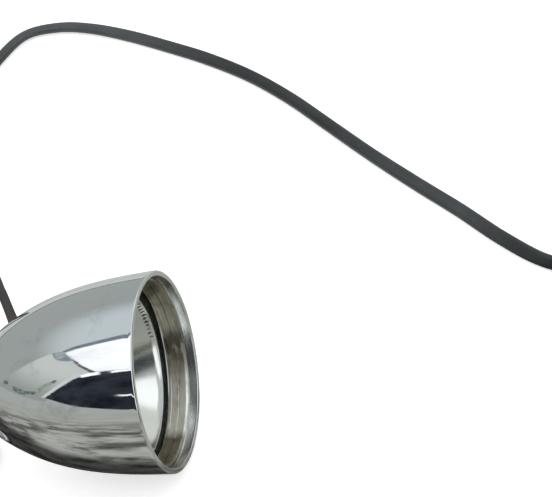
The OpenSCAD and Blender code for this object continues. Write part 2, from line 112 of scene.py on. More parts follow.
def recalculate(obj, merge=1e-7):
    # joins doubled points and turns every face outwards
    mesh = bmesh.new()
    mesh.from_mesh(obj.data)
    bmesh.ops.remove_doubles(mesh, verts=mesh.verts, dist=merge)
    bmesh.ops.recalc_face_normals(mesh, faces=mesh.faces)
    mesh.to_mesh(obj.data)
    mesh.free()
    obj.data.update()


def bakeModifiers(obj):
    bpy.context.view_layer.update()
    graph = bpy.context.evaluated_depsgraph_get()
    data = bpy.data.meshes.new_from_object(obj.evaluated_get(graph))
    obj.modifiers.clear()
    obj.data = data


# the flat twin lead, in mm and degrees
lead = {
    "width": 7.0,
    "thickness": 4.2,
    "squareness": 0.72,      # 1 is an ellipse, less is boxier
    "waist": 0.055,          # share of the thickness lost between the cores
    "waistWidth": 0.9,
    "sides": 28,
    "steps": 8,              # rings between two points of the route
    "rootDepth": 1.5,        # how far it starts inside the sleeve
    "restGap": 0.15,
    "restRound": 1.6,        # how round its corners are where it lies rolled
    "givesTowards": (0, 0.5, -1),
    "givesOver": 44,         # the stretch that bends when the light tilts
    "coilCentre": (288, 116),
    "coilRadius": 46,
    "coilPitch": 4.4,
    "coilTurns": 3,
    "coilStart": 238,        # degrees
    "coilHeight": 4.3,
    "coilPoints": 40,        # per turn
    "coilTrim": 2,           # points left out at each end, where it runs in and out
}
# where the lead leaves its sleeve, and which way the sleeve points
sleeveTip = (-13.14, 45.68, 63.13)
outletDir = Vector((-0.42262, 0.85165, 0.30998)).normalized()
# x, y, height of its middle and roll; a height of 0 stands for lying on the deck
leadRoute = [
    (-19, 57, 67, 90), (-30, 72, 68, 88), (-45, 86, 60, 84), (-60, 98, 44, 80), (-72, 110, 25, 76),
    (-83, 124, 10, 70), (-92, 142, 4.3, 62), (-100, 168, 0, 52), (-106, 200, 0, 40),
    (-109, 232, 0, 26), (-108, 264, 0, 12), (-104.5, 290, 0, 0), (-97, 314, 0, -8),
    (-86.4, 331.1, 0, -10), (-68, 334.3, 0, -8), (-47.9, 329.3, 0, -8), (-24.7, 318.6, 0, 0),
    (0.6, 304.1, 0, 3), (26.6, 287.9, 0, 6), (52.6, 268.7, 0, -3), (77.6, 245.6, 0, -9),
    (102.3, 219.2, 0, -9), (126.9, 192.9, 0, -6), (152.2, 167.2, 0, 6), (177.4, 142.4, 0, 14),
    (199.8, 118.8, 0, 34), (221.5, 99.3, 0, 72), (243, 88, 4.3, 88), (264, 77.5, 4.3, 90),
]
tailRoute = [
    (270.6, 88.2, 8.5, 60), (279, 83, 10.8, 15), (288, 77.5, 11, 0), (297, 72, 10.8, 0),
    (306, 66.5, 8.6, 0), (315, 61, 5.6, 0), (324, 55.5, 4.2, 0), (332, 50.5, 4, 0),
]


def restingHeight(roll):
    # height of its middle over the deck, so that a rolled stretch just clears it
    a = lead["width"] / 2 * abs(math.sin(math.radians(roll)))
    b = lead["thickness"] / 2 * abs(math.cos(math.radians(roll)))
    return (a ** lead["restRound"] + b ** lead["restRound"]) ** (1 / lead["restRound"]) + lead["restGap"]


def catmull(a, b, c, d, t):
    return 0.5 * (2 * b + (c - a) * t + (2 * a - 5 * b + 4 * c - d) * t * t
                  + (3 * b - a - 3 * c + d) * t ** 3)


def smoothRoute(points, steps):
    rows = [np.array(p, float) for p in points]
    out = []
    for i in range(len(rows) - 1):
        a, b, c = rows[max(i - 1, 0)], rows[i], rows[i + 1]
        d = rows[min(i + 2, len(rows) - 1)]
        out += [catmull(a, b, c, d, k / steps) for k in range(steps)]
    return out + [rows[-1]]


def coilRows():
    cx, cy = lead["coilCentre"]
    count = lead["coilTurns"] * lead["coilPoints"]
    rows = []
    for i in range(lead["coilTrim"], count - lead["coilTrim"]):
        turn = i / lead["coilPoints"]
        angle = math.radians(lead["coilStart"]) + 2 * math.pi * turn
        radius = lead["coilRadius"] - lead["coilPitch"] * turn
        x, y = cx + radius * math.cos(angle), cy + radius * math.sin(angle)
        rows.append((x, y, lead["coilHeight"], 90))
    return rows


def leadRows():
    start = tuple(np.array(sleeveTip) - np.array(outletDir) * lead["rootDepth"]) + (90,)
    lying = [p if p[2] > 0 else (p[0], p[1], restingHeight(p[3]), p[3]) for p in leadRoute]
    rows = smoothRoute([start, sleeveTip + (90,)] + lying, lead["steps"])
    return rows + [np.array(p, float) for p in coilRows()] + smoothRoute(tailRoute, lead["steps"])


def roundedSection(width, thickness, power):
    points = []
    for k in range(lead["sides"]):
        a = 2 * math.pi * (k + 0.5) / lead["sides"]
        c, s = math.cos(a), math.sin(a)
        points.append((width / 2 * math.copysign(abs(c) ** power, c),
                       thickness / 2 * math.copysign(abs(s) ** power, s)))
    return points


def twinSection():
    # two round cores under one flat jacket: a rounded bar with a faint waist between the cores
    outline = roundedSection(lead["width"], lead["thickness"], lead["squareness"])
    return [(u, v * (1 - lead["waist"] * math.exp(-(u / lead["waistWidth"]) ** 2))) for u, v in outline]


def sweep(name, rows, sections):
    # carries one section a row along rows of x, y, z and roll; the UV map is in metres
    centre = [Vector(r[:3]) for r in rows]
    first = sections[0]
    points = []
    for i, r in enumerate(rows):
        ahead = (centre[min(i + 1, len(rows) - 1)] - centre[max(i - 1, 0)]).normalized()
        side = Vector((0, 0, 1)).cross(ahead).normalized()
        up = ahead.cross(side)
        roll = math.radians(r[3])
        wide = side * math.cos(roll) + up * math.sin(roll)
        thin = up * math.cos(roll) - side * math.sin(roll)
        points += [(centre[i] + wide * u + thin * v) * mm for u, v in sections[i]]
    n = len(first)
    faces = []
    for i in range(len(rows) - 1):
        for k in range(n):
            m = (k + 1) % n
            faces.append((i * n + k, i * n + m, (i + 1) * n + m, (i + 1) * n + k))
    faces.append(tuple(reversed(range(n))))
    faces.append(tuple(range((len(rows) - 1) * n, len(rows) * n)))
    obj = meshObject(name, points, faces, 60)
    run = [0]
    for a, b in zip(centre, centre[1:]):
        run.append(run[-1] + (b - a).length * mm)
    around = [0]
    for k in range(n):
        a, b = first[k], first[(k + 1) % n]
        around.append(around[-1] + math.hypot(b[0] - a[0], b[1] - a[1]) * mm)
    layer = obj.data.uv_layers.new(name="run")
    for face in obj.data.polygons:
        ks = [obj.data.loops[j].vertex_index % n for j in face.loop_indices]
        wraps = max(ks) - min(ks) > 1
        for j in face.loop_indices:
            v = obj.data.loops[j].vertex_index
            k = v % n
            layer.data[j].uv = (run[v // n], around[n if wraps and k == 0 else k])
    return obj, [p * mm for p in centre]


leadRings = leadRows()
leadPiece, leadPath = sweep("twin_lead", leadRings, [twinSection()] * len(leadRings))
leadLength = sum((b - a).length for a, b in zip(leadPath, leadPath[1:]))
print("lead made:", round(leadLength, 3), "m,", len(leadPiece.data.polygons), "faces")


class Flow:
    # one socket of a shader or geometry tree; arithmetic on it adds Math nodes
    def __init__(self, tree, socket=None):
        self.tree = tree
        self.socket = socket

    def node(self, kind, settings=None, sockets=None, out=0):
        made = self.tree.nodes.new(kind)
        for key, value in (settings or {}).items():
            if key == "stops":
                ramp = made.color_ramp
                while len(ramp.elements) < len(value):
                    ramp.elements.new(1)
                for stop, (place, level) in zip(ramp.elements, value):
                    stop.position = place
                    stop.color = (level, level, level, 1)
            else:
                setattr(made, key, value)
        for key, value in (sockets or {}).items():
            if isinstance(value, Flow):
                self.tree.links.new(value.socket, made.inputs[key])
            else:
                made.inputs[key].default_value = value
        return Flow(self.tree, made.outputs[out] if made.outputs else None)

    def out(self, name):
        return Flow(self.tree, self.socket.node.outputs[name])

    def math(self, operation, *others):
        sockets = {i: v for i, v in enumerate((self,) + others)}
        return self.node("ShaderNodeMath", {"operation": operation}, sockets)

    def __add__(self, other):
        return self.math("ADD", other)

    __radd__ = __add__

    def __sub__(self, other):
        return self.math("SUBTRACT", other)

    def __rsub__(self, other):
        return self.node("ShaderNodeMath", {"operation": "SUBTRACT"}, {0: other, 1: self})

    def __mul__(self, other):
        return self.math("MULTIPLY", other)

    __rmul__ = __mul__

    def __truediv__(self, other):
        return self.math("DIVIDE", other)

    def __rtruediv__(self, other):
        return self.node("ShaderNodeMath", {"operation": "DIVIDE"}, {0: other, 1: self})

    def __pow__(self, other):
        return self.math("POWER", other)

    def between(self, low, high):
        # rises smoothly from 0 at low to 1 at high; low may be the larger
        sockets = {"Value": self, "From Min": low, "From Max": high}
        return self.node("ShaderNodeMapRange", {"interpolation_type": "SMOOTHSTEP"}, sockets)

    def noise(self, scale, detail=3, roughness=0.5, stretch=None):
        place = self
        if stretch:
            place = self.node("ShaderNodeMapping", None, {"Vector": self, "Scale": stretch})
        sockets = {"Vector": place, "Scale": scale, "Detail": detail, "Roughness": roughness}
        return self.node("ShaderNodeTexNoise", None, sockets)

    def specks(self, scale, size):
        # small round spots, one where a cell's centre is near
        cells = self.node("ShaderNodeTexVoronoi", None, {"Vector": self, "Scale": scale})
        return cells.between(size, size * 0.5)

    def mixed(self, low, high):
        # a colour between two others, by this value; a Mix node's colours are its sockets 6, 7 and 2
        sockets = {"Factor": self, 6: low, 7: high}
        return self.node("ShaderNodeMix", {"data_type": "RGBA"}, sockets, 2)

    def bump(self, distance, strength):
        sockets = {"Height": self, "Distance": distance, "Strength": strength}
        return self.node("ShaderNodeBump", None, sockets)


def newMaterial(name, constants):
    made = bpy.data.materials.new(name)
    made.use_nodes = True
    shader = made.node_tree.nodes["Principled BSDF"]
    for key, value in constants.items():
        shader.inputs[key].default_value = value
    flow = Flow(made.node_tree)
    place = flow.node("ShaderNodeTexCoord").out("Object")
    return made, shader, place


def feed(shader, **links):
    # links go to the shader's sockets: baseColor feeds Base Color, and so on
    names = {"baseColor": "Base Color", "roughness": "Roughness", "alpha": "Alpha", "normal": "Normal"}
    for key, value in links.items():
        value.tree.links.new(value.socket, shader.inputs[names[key]])


def lampSpace(place):
    # the pattern's own axes: along the lamp from the mouth, round it, and out from it
    sockets = {"Vector": place, "Location": (-mouthX, 0, -axisZ)}
    own = place.node("ShaderNodeMapping", {"vector_type": "POINT"}, sockets)
    parts = own.node("ShaderNodeSeparateXYZ", None, {"Vector": own})
    y, z = parts.out("Y"), parts.out("Z")
    radius = (y * y + z * z) ** 0.5
    return own, parts * -1, y.math("ARCTAN2", z), radius


def ringSpace(depth, angle, radius, turns=0.02):
    # wraps a pattern round the lamp, so that streaks run round it
    sockets = {"X": depth, "Y": angle * turns, "Z": radius}
    return depth.node("ShaderNodeCombineXYZ", None, sockets)


# painted shade and a painted highlight round the mouth: where each begins, is full, is still full, and
# ends, in radians from the top;
# the satin inside of the lip is kept within a radius and a depth, in metres
mouthSatinAndPaintedLight = {
    "lipRadius": (0.0433, 0.0430),
    "lipDepth": (0.0004, 0.0009, 0.005, 0.006),
    "lipPaintedShade": (1.80, 1.95, 2.22, 2.42),
    "ringPaintedShade": (1.78, 1.92, 2.02, 2.17),
    "ringPaintedHighlight": (2.15, 2.50, 2.98, 3.15),
}


def within(value, limits):
    return value.between(limits[0], limits[1]) * value.between(limits[3], limits[2])


def chromePlate():
    # the spun shell: hazy in patches, with faint polishing lines, and satin inside its lip, where one
    # stretch carries painted shade
    made, shader, place = newMaterial("chrome_plate", {"Metallic": 1.0})
    tint, paintedShadeTone = (0.80, 0.815, 0.82, 1), (0.13, 0.14, 0.145, 1)
    own, depth, angle, radius = lampSpace(place)
    clouds = own.noise(38, 4, 0.6)
    smears = ringSpace(depth, angle, radius, 0.03).noise(60, 5, 0.65, (1, 0.35, 1))
    pits = own.specks(520, 0.12) * own.noise(26, 2).between(0.52, 0.66)
    stain = own.noise(90, 6, 0.7).between(0.5, 0.72) * clouds.between(0.46, 0.62)
    worn = (stain * 0.5 + pits * 0.8).math("MINIMUM", 1)
    dull = tuple(0.62 * c for c in tint[:3]) + (1,)
    scratches = ringSpace(depth, angle, radius, 0.05).noise(900, 2, 0.4, (0.08, 1, 1))
    height = clouds * 0.4 + scratches.between(0.62, 0.8) * 0.12 - pits * 0.5
    inside = radius.between(*mouthSatinAndPaintedLight["lipRadius"]) * within(depth, mouthSatinAndPaintedLight["lipDepth"])
    # painted shade: one stretch inside the lip is painted dark
    paintedShade = inside * within(angle, mouthSatinAndPaintedLight["lipPaintedShade"])
    feed(shader,
         baseColor=(paintedShade * 0.75).mixed(worn.mixed(tint, dull), paintedShadeTone),
         roughness=0.035 + smears.between(0.45, 0.75) * 0.05 + worn * 0.16 + inside * 0.2,
         normal=height.bump(0.00006, 0.35))
    return made


def castChrome():
    # the foot and the knuckle are cast before they are plated, so their skin is a little uneven
    made, shader, place = newMaterial("cast_chrome", {"Metallic": 1.0})
    waves = place.noise(70, 3, 0.5)
    grain = place.noise(900, 3, 0.6)
    pits = place.specks(420, 0.16) * place.noise(30, 2).between(0.5, 0.62)
    dirt = place.noise(55, 5, 0.65).between(0.5, 0.75)
    feed(shader,
         baseColor=(dirt * 0.6 + pits * 0.4).mixed((0.74, 0.75, 0.755, 1), (0.40, 0.40, 0.38, 1)),
         roughness=0.10 + dirt * 0.16 + pits * 0.3,
         normal=(waves + grain * 0.12 - pits * 0.5).bump(0.00025, 0.5))
    return made


def wornNickel():
    # the lens ring: nickel worn to a tan tarnish, with painted shade in one stretch and a painted highlight
    # in another
    made, shader, place = newMaterial("worn_nickel", {"Metallic": 1.0})
    own, depth, angle, radius = lampSpace(place)
    turned = ringSpace(depth, angle, radius, 0.002).noise(5200, 3, 0.6)
    rubs = ringSpace(depth, angle, radius, 0.012).noise(420, 4, 0.6)
    patches = ringSpace(depth, angle, radius, 0.03).noise(70, 4, 0.6)
    streaks = ringSpace(depth, angle, radius, 0.06).noise(700, 3, 0.6, (1, 0.12, 1))
    # painted highlight: one stretch near the bottom is painted almost white, mixed below with random rubbed
    # patches
    low = within(angle, mouthSatinAndPaintedLight["ringPaintedHighlight"])
    # painted shade: another stretch is painted almost black
    paintedShade = within(angle, mouthSatinAndPaintedLight["ringPaintedShade"])
    bright = (low * 0.8 + patches.between(0.62, 0.4) * 0.2).math("MINIMUM", 1)
    colour = bright.mixed((0.25, 0.215, 0.155, 1), (1.0, 0.98, 0.90, 1))
    colour = (paintedShade * 0.75).mixed(colour, (0.05, 0.043, 0.032, 1))
    tone = (rubs.between(0.5, 0.72) * 0.6).mixed(colour, (0.62, 0.60, 0.52, 1))
    feed(shader,
         baseColor=(streaks.between(0.55, 0.75) * 0.5).mixed(tone, (0.30, 0.24, 0.16, 1)),
         roughness=0.26 + patches * 0.14 + turned * 0.06 + low * 0.05,
         normal=(turned * 0.7 + rubs * 0.5).bump(0.00006, 0.7))
    return made


# the dots inside the reflector's rim, in mm and radians
dots = {"radius": 36.5, "spacing": 2.1, "size": 0.52, "arc": 1.88, "drop": 1.2}


def satinReflector():
    # spun and bright-dipped, with a row of small dark dots inside its rim along the top
    made, shader, place = newMaterial("satin_reflector", {"Metallic": 1.0})
    own, depth, angle, radius = lampSpace(place)
    spun = ringSpace(depth, angle, radius, 0.002).noise(2600, 2, 0.5)
    bloom = own.noise(34, 4, 0.6)
    spots = own.specks(700, 0.14) * own.noise(60, 2).between(0.55, 0.7)
    parts = own.node("ShaderNodeSeparateXYZ", None, {"Vector": own})
    y, z = parts.out("Y"), parts.out("Z") + dots["drop"] * mm
    around = y.math("ARCTAN2", z)
    step = (around * (dots["radius"] / dots["spacing"])).math("FRACT")
    across = step * dots["spacing"] - dots["spacing"] / 2
    inward = (y * y + z * z) ** 0.5 * 1000 - dots["radius"]
    uneven = own.noise(240, 1).between(0.35, 0.65) * 0.6 + 0.7
    apart = (across * across + inward * inward) ** 0.5 / uneven
    arc = around.math("ABSOLUTE").between(dots["arc"], dots["arc"] - 0.1)
    dot = apart.between(dots["size"], dots["size"] * 0.55) * arc
    dull = bloom.between(0.4, 0.75) * 0.6 + spots * 0.3
    tone = dull.mixed((0.84, 0.855, 0.83, 1), (0.72, 0.735, 0.70, 1))
    feed(shader,
         baseColor=dot.mixed(tone, (0.07, 0.072, 0.06, 1)),
         roughness=0.13 + bloom * 0.09 + spots * 0.2 + dot * 0.4,
         normal=(spun * 0.5 + bloom * 0.5 - dot).bump(0.00004, 0.5))
    return made


def clearGlass():
    # a thin clean pane, with a little dust and a wiped smear
    made, shader, place = newMaterial("clear_glass", {
        "Base Color": (0.10, 0.11, 0.11, 1), "Metallic": 0.0, "Specular IOR Level": 0.5})
    own, depth, angle, radius = lampSpace(place)
    smear = own.noise(30, 4, 0.6, (1, 0.4, 1.6))
    dust = own.specks(1500, 0.10) * own.noise(45, 2).between(0.5, 0.65)
    feed(shader,
         roughness=0.03 + smear * 0.08 + dust * 0.4,
         alpha=0.045 + smear.between(0.5, 0.8) * 0.02 + dust * 0.12)
    made.surface_render_method = "BLENDED"
    return made


def bulbGlass():
    made, shader, place = newMaterial("bulb_glass", {
        "Base Color": (0.82, 0.84, 0.84, 1), "Transmission Weight": 1.0, "IOR": 1.46})
    veil = place.noise(160, 4, 0.6)
    feed(shader,
         roughness=0.02 + veil.between(0.5, 0.8) * 0.06,
         normal=veil.bump(0.00005, 0.3))
    return made


def turnedMetal(name, bright, dark, roughness, scale=1400):
    # brass, steel or zinc: fine tool lines, dull patches and small pits
    made, shader, place = newMaterial(name, {"Metallic": 1.0})
    own, depth, angle, radius = lampSpace(place)
    lines = ringSpace(depth, angle, radius, 0.004).noise(scale, 3, 0.6)
    patches = place.noise(140, 4, 0.65)
    pits = place.specks(500, 0.15) * patches.between(0.5, 0.62)
    feed(shader,
         baseColor=(patches.between(0.4, 0.7) * 0.75 + pits * 0.25).mixed(bright, dark),
         roughness=roughness + patches * 0.18 + pits * 0.2,
         normal=(lines * 0.6 + patches * 0.4 - pits * 0.5).bump(0.00008, 0.6))
    return made


def softRubber(name, colour, dusty):
    made, shader, place = newMaterial(name, {"Specular IOR Level": 0.4})
    skin = place.noise(700, 4, 0.6)
    dust = place.noise(60, 4, 0.65)
    feed(shader,
         baseColor=dust.between(0.45, 0.75).mixed(colour, dusty),
         roughness=0.52 + dust * 0.2 + skin * 0.06,
         normal=(skin * 0.5 + dust * 0.4).bump(0.00012, 0.5))
    return made


def mouldedPlastic(name, colour, marbled, gloss=0.34):
    made, shader, place = newMaterial(name, {"Specular IOR Level": 0.5})
    swirl = place.noise(120, 5, 0.6, (1, 0.5, 1.4))
    skin = place.noise(1500, 3, 0.5)
    feed(shader,
         baseColor=swirl.between(0.4, 0.7).mixed(colour, marbled),
         roughness=gloss + swirl * 0.12 + skin * 0.05,
         normal=(skin * 0.4 + swirl * 0.3).bump(0.00006, 0.4))
    return made


# each is metres along the lead, and how worn it is there
wearStops = [(0, 0.25), (0.31, 0.4), (0.345, 0.78), (0.42, 0.72), (0.455, 0.45), (0.495, 0.10),
             (0.575, 0.08), (0.615, 0.32), (0.65, 0.5), (0.695, 0.52), (0.73, 0.14), (1, 0.12)]


def leadSheath():
    # glossy vinyl gone satin: draw lines along it, dust in patches, wear in some lengths
    made, shader, place = newMaterial("lead_sheath", {"Specular IOR Level": 0.65})
    run = place.node("ShaderNodeUVMap", {"uv_map": "run"})
    drawn = run.noise(900, 3, 0.5, (0.02, 1, 1))
    mottle = run.noise(160, 4, 0.6, (0.3, 1, 1))
    scuff = run.noise(300, 5, 0.7, (0.5, 1, 1)).between(0.58, 0.7)
    length = run.node("ShaderNodeSeparateXYZ", None, {"Vector": run}).out("X")
    worn = length.node("ShaderNodeValToRGB", {"stops": wearStops}, {"Fac": length})
    dust = place.noise(60, 4, 0.6).between(0.4, 0.7)
    base = mottle.between(0.35, 0.7).mixed((0.009, 0.0105, 0.012, 1), (0.017, 0.020, 0.022, 1))
    dusty = (worn * 0.75 + dust * worn * 0.25 + scuff * 0.12).mixed(base, (0.075, 0.086, 0.093, 1))
    feed(shader,
         baseColor=dusty,
         roughness=0.20 + worn * 0.06 + dust * 0.06 + scuff * 0.12,
         normal=(drawn * 0.5 + mottle * 0.3 + scuff * 0.2).bump(0.00008, 0.5))
    return made


def sleeveRubber():
    # perished rubber, with a rusty stain at its root
    made, shader, place = newMaterial("sleeve_rubber", {"Specular IOR Level": 0.35})
    parts = place.node("ShaderNodeSeparateXYZ", None, {"Vector": place})
    root = parts.out("Y").between(0.040, 0.026)
    cracks = place.noise(500, 5, 0.7)
    rust = root * place.noise(150, 4, 0.6).between(0.35, 0.65)
    feed(shader,
         baseColor=rust.mixed((0.048, 0.045, 0.045, 1), (0.10, 0.055, 0.04, 1)),
         roughness=0.5 + cracks * 0.3,
         normal=cracks.bump(0.00018, 0.6))
    return made


finishes = {
    "chrome_shell": chromePlate(),
    "chrome_fitting": castChrome(),
    "worn_nickel": wornNickel(),
    "clear_glass": clearGlass(),
    "black_rubber": softRubber("black_rubber", (0.018, 0.018, 0.019, 1), (0.055, 0.054, 0.052, 1)),
    "satin_reflector": satinReflector(),
    "bulb_glass": bulbGlass(),
    "tungsten": turnedMetal("tungsten", (0.32, 0.32, 0.33, 1), (0.18, 0.18, 0.19, 1), 0.4),
    "cap_brass": turnedMetal("cap_brass", (0.62, 0.57, 0.44, 1), (0.40, 0.33, 0.20, 1), 0.26),
    "phenolic": mouldedPlastic("phenolic", (0.085, 0.034, 0.016, 1), (0.14, 0.06, 0.028, 1)),
    "solder": turnedMetal("solder", (0.55, 0.56, 0.58, 1), (0.34, 0.34, 0.35, 1), 0.36, 400),
    "contact_brass": turnedMetal("contact_brass", (0.78, 0.60, 0.27, 1), (0.45, 0.30, 0.12, 1), 0.24),
    "spring_steel": turnedMetal("spring_steel", (0.50, 0.50, 0.50, 1), (0.30, 0.28, 0.26, 1), 0.3),
    "holder_brass": turnedMetal("holder_brass", (0.66, 0.60, 0.44, 1), (0.42, 0.33, 0.19, 1), 0.3),
    "zinc_plate": turnedMetal("zinc_plate", (0.62, 0.63, 0.64, 1), (0.42, 0.42, 0.42, 1), 0.34),
    "red_wire": mouldedPlastic("red_wire", (0.42, 0.02, 0.018, 1), (0.30, 0.015, 0.014, 1), 0.36),
    "black_wire": mouldedPlastic("black_wire", (0.018, 0.018, 0.02, 1), (0.035, 0.035, 0.037, 1), 0.38),
    "stainless": turnedMetal("stainless", (0.63, 0.63, 0.62, 1), (0.44, 0.43, 0.41, 1), 0.22),
    "fibre": mouldedPlastic("fibre", (0.20, 0.055, 0.035, 1), (0.13, 0.04, 0.03, 1), 0.62),
    "sleeve_rubber": sleeveRubber(),
    "lead_sheath": leadSheath(),
    "tie_nylon": mouldedPlastic("tie_nylon", (0.02, 0.02, 0.021, 1), (0.035, 0.035, 0.036, 1), 0.42),
    "connector_plastic": mouldedPlastic("connector_plastic", (0.022, 0.022, 0.023, 1),
                                        (0.040, 0.040, 0.041, 1), 0.40),
}
for name, obj in nodes.items():
    obj.data.materials[0] = finishes[slotOf[name]]
print("finishes made:", len(finishes))


def finish(obj, slot, body, *replaced):
    obj.data.materials.clear()
    obj.data.materials.append(finishes[slot])
    if replaced:
        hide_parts(*replaced)
    if body:
        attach(obj, body)
    return obj


# the lead takes its finish and its place
finish(leadPiece, "lead_sheath", None, "cord_drop", "cord_run", "cord_coil", "cord_tail")
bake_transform(leadPiece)


# turned pieces: one tree turns an outline round the lamp's axis
def newTree(name, inputs):
    tree = bpy.data.node_groups.new(name, "GeometryNodeTree")
    tree.interface.new_socket("Geometry", in_out="OUTPUT", socket_type="NodeSocketGeometry")
    ids = {}
    for label, kind, value in inputs:
        made = tree.interface.new_socket(label, in_out="INPUT", socket_type=kind)
        if value is not None:
            made.default_value = value
        ids[label] = made.identifier
    start = Flow(tree).node("NodeGroupInput")
    return tree, start, ids


def endTree(tree, geometry, material):
    real = geometry.node("GeometryNodeRealizeInstances", None, {"Geometry": geometry})
    done = real.node("GeometryNodeSetMaterial", None, {"Geometry": real, "Material": material})
    end = tree.nodes.new("NodeGroupOutput")
    tree.links.new(done.socket, end.inputs[0])


def applyTree(obj, tree, ids, values):
    change = obj.modifiers.new(tree.name, "NODES")
    change.node_group = tree
    for label, value in values.items():
        change[ids[label]] = value
    bakeModifiers(obj)


def latheTree():
    # the object's own points are the outline, as depth and radius; the tree turns them
    tree, start, ids = newTree("turned_piece", [
        ("Outline", "NodeSocketGeometry", None), ("Steps", "NodeSocketInt", 96),
        ("Points", "NodeSocketInt", 8), ("Mouth", "NodeSocketFloat", mouthX),
        ("Axis Height", "NodeSocketFloat", axisZ), ("Drop", "NodeSocketFloat", 0),
        ("Finish", "NodeSocketMaterial", None)])
    steps, points = start.out("Steps"), start.out("Points")
    around = steps + 1
    size = {"Vertices X": points, "Vertices Y": around}
    grid = start.node("GeometryNodeMeshGrid", None, size, "Mesh")
    index = start.node("GeometryNodeInputIndex")
    row = (index / around).math("FLOOR")
    turn = (index - row * around) / steps * (2 * math.pi)
    where = start.node("GeometryNodeInputPosition")
    taken = start.node("GeometryNodeSampleIndex", {"data_type": "FLOAT_VECTOR"},
                       {"Geometry": start.out("Outline"), "Value": where, "Index": row})
    parts = start.node("ShaderNodeSeparateXYZ", None, {"Vector": taken})
    radius = parts.out("Y")
    y = radius * turn.math("SINE")
    z = radius * turn.math("COSINE") + start.out("Axis Height") - start.out("Drop")
    x = start.out("Mouth") - parts.out("X")
    spot = start.node("ShaderNodeCombineXYZ", None, {"X": x, "Y": y, "Z": z})
    laid = grid.node("GeometryNodeSetPosition", None, {"Geometry": grid, "Position": spot})
    joined = laid.node("GeometryNodeMergeByDistance", None, {"Geometry": laid, "Distance": 1e-6})
    endTree(tree, joined, start.out("Finish"))
    return tree, ids


turnedTree, turnedInputs = latheTree()


def turned(name, outline, slot, steps, drop=0, sharp=32):
    # outline: a closed list of depth behind the mouth and radius, in mm
    closed = list(outline) + [outline[0]]
    points = [(depth * mm, radius * mm, 0) for depth, radius in closed]
    edges = [(i, i + 1) for i in range(len(closed) - 1)]
    data = bpy.data.meshes.new(name)
    data.from_pydata(points, edges, [])
    obj = addObject(name, data)
    applyTree(obj, turnedTree, turnedInputs, {
        "Steps": steps, "Points": len(closed), "Drop": drop * mm, "Finish": finishes[slot]})
    recalculate(obj)
    smoothen(obj, sharp)
    return obj


def arc(centre, radius, start, end, count=6):
    # points on an arc, in degrees, from start to end
    rows = []
    for i in range(count + 1):
        a = math.radians(start + (end - start) * i / count)
        rows.append((centre[0] + radius * math.cos(a), centre[1] + radius * math.sin(a)))
    return rows


# the housing, in mm
shell = {
    "mouthR": 45, "length": 96, "wall": 2, "boreR": 42.5, "lipDepth": 3.9, "seatDepth": 17,
    "seatR": 39.6, "tailR": 9, "frontFullness": 0.47, "tailFullness": 0.69, "shoulder": 0.8,
    "droop": 2,              # how much narrower than the mouth the front's handle is
    "studR": 4.25, "reliefDepth": 0.7, "reliefWidth": 0.8, "outerEdge": 0.7, "innerEdge": 0.45,
    "threadPitch": 1.5, "threadDepth": 0.25, "threadFlank": 0.45, "threadRoot": 0.3,
    "threadEnd": 1.2,        # from the seat to the last thread
    "seatLength": 2.5, "behindSeat": 4, "behindEdge": 0.6,
    "outerSteps": 72, "innerSteps": 48, "around": 256,
}


def shellOutline(t, wall):
    length, mouth = shell["length"], shell["mouthR"]
    ends = ((0, mouth - wall), (length * shell["frontFullness"], mouth - shell["droop"] - wall),
            (length * shell["tailFullness"], mouth * shell["shoulder"] - wall),
            (length - (shell["wall"] if wall else 0), shell["tailR"] - wall / 2))
    weights = ((1 - t) ** 3, 3 * t * (1 - t) ** 2, 3 * t * t * (1 - t), t ** 3)
    return tuple(sum(w * p[i] for w, p in zip(weights, ends)) for i in (0, 1))


def makeShell():
    outer = [shellOutline(i / shell["outerSteps"], 0) for i in range(shell["outerSteps"] + 1)]
    inner = [shellOutline(i / shell["innerSteps"], shell["wall"]) for i in range(shell["innerSteps"] + 1)]
    edge, lip = shell["outerEdge"], shell["innerEdge"]
    rows = arc((lip, shell["boreR"] + lip), lip, 270, 180)
    rows += arc((edge, shell["mouthR"] - edge), edge, 180, 90, 8)
    rows += [p for p in outer if p[0] > edge + shell["behindEdge"]]
    rows += [(shell["length"], shell["studR"]), (shell["length"] - shell["wall"], shell["studR"])]
    seat, bore = shell["seatDepth"], shell["boreR"]
    rows += [p for p in reversed(inner) if p[0] > seat + shell["behindSeat"]]
    rows += [(seat + shell["seatLength"], shell["seatR"]), (seat, shell["seatR"]), (seat, bore)]
    relief, root = shell["lipDepth"] + shell["reliefWidth"], bore + shell["threadDepth"]
    depth = seat - shell["threadEnd"]
    while depth > relief + shell["threadPitch"]:
        flank = depth - shell["threadFlank"]
        rows += [(depth, bore), (flank, root), (flank - shell["threadRoot"], root)]
        depth -= shell["threadPitch"]
        rows.append((depth + shell["threadRoot"], bore))
    rows += [(relief, bore), (relief, bore + shell["reliefDepth"]),
             (shell["lipDepth"], bore + shell["reliefDepth"]), (shell["lipDepth"], bore)]
    piece = turned("shell", rows, "chrome_shell", shell["around"])
    return finish(piece, "chrome_shell", "lamp", "housing")


# the reflector, in mm; it sits a little below the lamp's axis
dish = {
    "drop": 1.2, "seat": 16.2, "beadR": 37.8, "beadHeight": 1.0, "beadEdge": 0.42, "beadFoot": 0.3,
    "beadFlare": 0.14, "backSpread": 0.1, "flangeR": 41.2, "sheet": 0.8, "bowlR": 37.3,
    "bowlDepth": 26, "neckR": 9.98, "neckEnd": 47.2, "bowlSteps": 40, "around": 224, "crease": 40,
}


def bowlDepthAt(radius):
    return dish["seat"] + dish["bowlDepth"] * (1 - (radius / dish["bowlR"]) ** 2)


